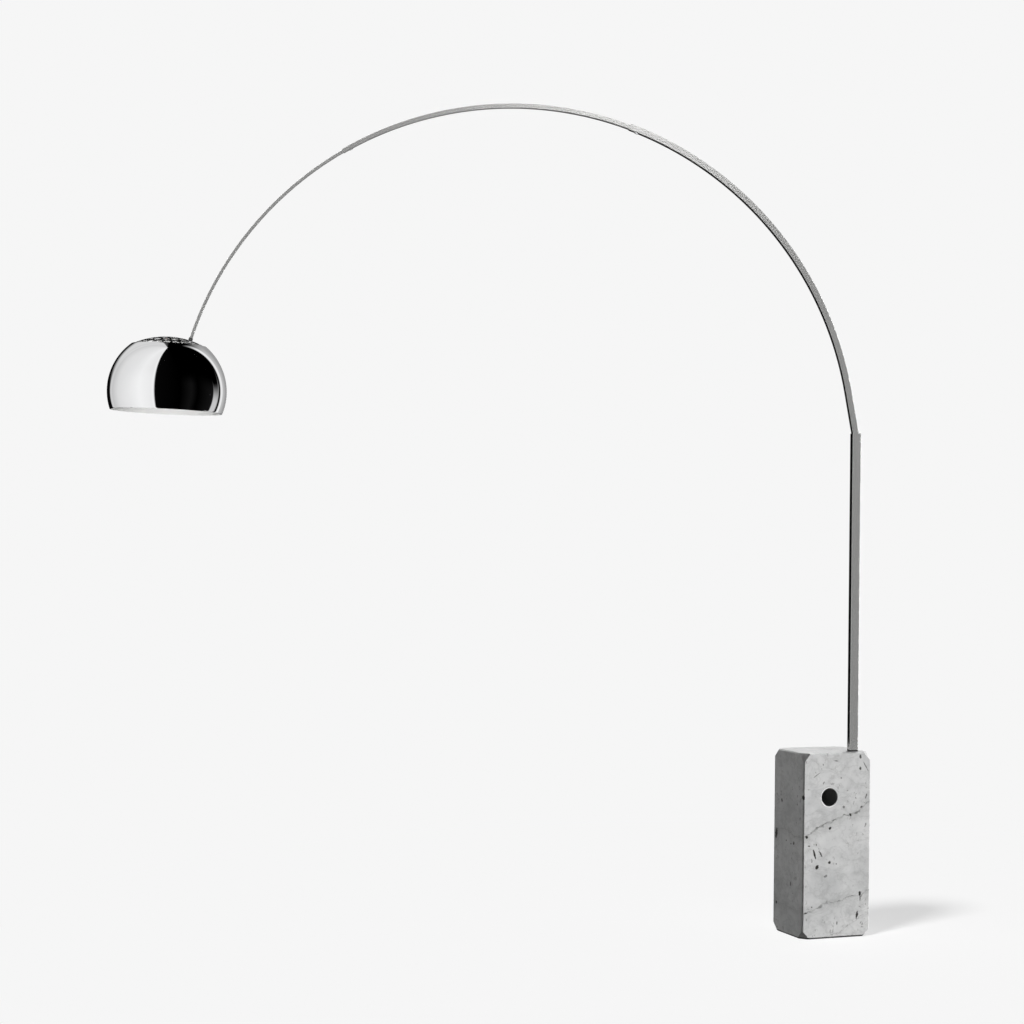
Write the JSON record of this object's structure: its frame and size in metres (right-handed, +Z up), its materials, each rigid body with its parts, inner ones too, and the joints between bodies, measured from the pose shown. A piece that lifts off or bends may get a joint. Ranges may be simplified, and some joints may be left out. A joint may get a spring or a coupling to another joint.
{
  "type": "arc floor lamp",
  "caption": "Arc floor lamp: bevelled marble block base, steel stem, telescoping steel arc and a polished domed shade with a perforated top.",
  "frame": {"origin": "centre of the marble block's bottom face", "axes": "+Z up; -Y out of the block's wide face with the lifting hole's near mouth; +X across that face, towards the stem's side"},
  "size_m": [2.1537, 0.6595, 2.4],
  "materials": {
    "marble": "satin",
    "satin_steel": "satin",
    "plated_steel": "polished",
    "polished_metal": "polished",
    "black_plastic": "matte",
    "white_nylon": "matte",
    "black_rubber": "matte",
    "nickel_brass": "polished",
    "black_ceramic": "gloss",
    "opal_glass": "gloss"
  },
  "bodies": {
    "base": {"marble_base": "marble", "cable_grommet": "black_rubber", "anchor_washer": "plated_steel"},
    "stem": {"anchor_nut": "plated_steel", "tie_rod": "plated_steel", "foot_gasket": "black_rubber", "foot_block": "plated_steel", "stem_tube": "satin_steel", "foot_screw_1": "plated_steel", "foot_screw_2": "plated_steel", "tang_sleeve": "black_plastic", "tang_screw_1": "plated_steel", "tang_screw_2": "plated_steel", "arc_lower": "satin_steel", "middle_clamp_screw": "plated_steel", "middle_clamp_nut": "plated_steel"},
    "middle_section": {"arc_middle": "satin_steel", "middle_slide_shoe": "white_nylon", "end_clamp_screw": "plated_steel", "end_clamp_nut": "plated_steel"},
    "end_section": {"arc_end": "satin_steel", "end_slide_shoe": "white_nylon", "tip_plug": "plated_steel", "tip_collar": "black_plastic", "perforated_cap": "polished_metal", "head_washer": "plated_steel", "head_nut": "plated_steel", "lampholder_cap": "black_plastic", "lampholder_body": "black_plastic", "thread_shell": "nickel_brass", "centre_contact": "nickel_brass", "bulb_contact": "nickel_brass", "bulb_insulator": "black_ceramic", "bulb_cap": "nickel_brass", "bulb_glass": "opal_glass"},
    "seat_ring": {"dome_seat_ring": "white_nylon"},
    "shade": {"dome": "polished_metal"}
  },
  "joints": [
    {"name": "stem_swivel", "type": "hinge", "parent": "base", "child": "stem", "pos_m": [0.072, -0.05, 0], "axis": [0, 0, 1], "range_deg": [-40, 13]},
    {"name": "middle_telescope", "type": "hinge", "parent": "stem", "child": "middle_section", "pos_m": [-0.897, 0.17549, 1.4078], "axis": [-0.2267, -0.974, 0], "range_deg": [-12, 4]},
    {"name": "end_telescope", "type": "hinge", "parent": "middle_section", "child": "end_section", "pos_m": [-0.897, 0.17549, 1.4078], "axis": [-0.2267, -0.974, 0], "range_deg": [-12, 4]},
    {"name": "shade_tilt_lengthwise", "type": "hinge", "parent": "end_section", "child": "seat_ring", "pos_m": [-1.87641, 0.40341, 1.55199], "axis": [0.2267, 0.974, 0], "range_deg": [-6, 6]},
    {"name": "shade_tilt_sideways", "type": "hinge", "parent": "seat_ring", "child": "shade", "pos_m": [-1.87641, 0.40341, 1.55199], "axis": [0.974, -0.2267, 0], "range_deg": [-6, 6]}
  ]
}
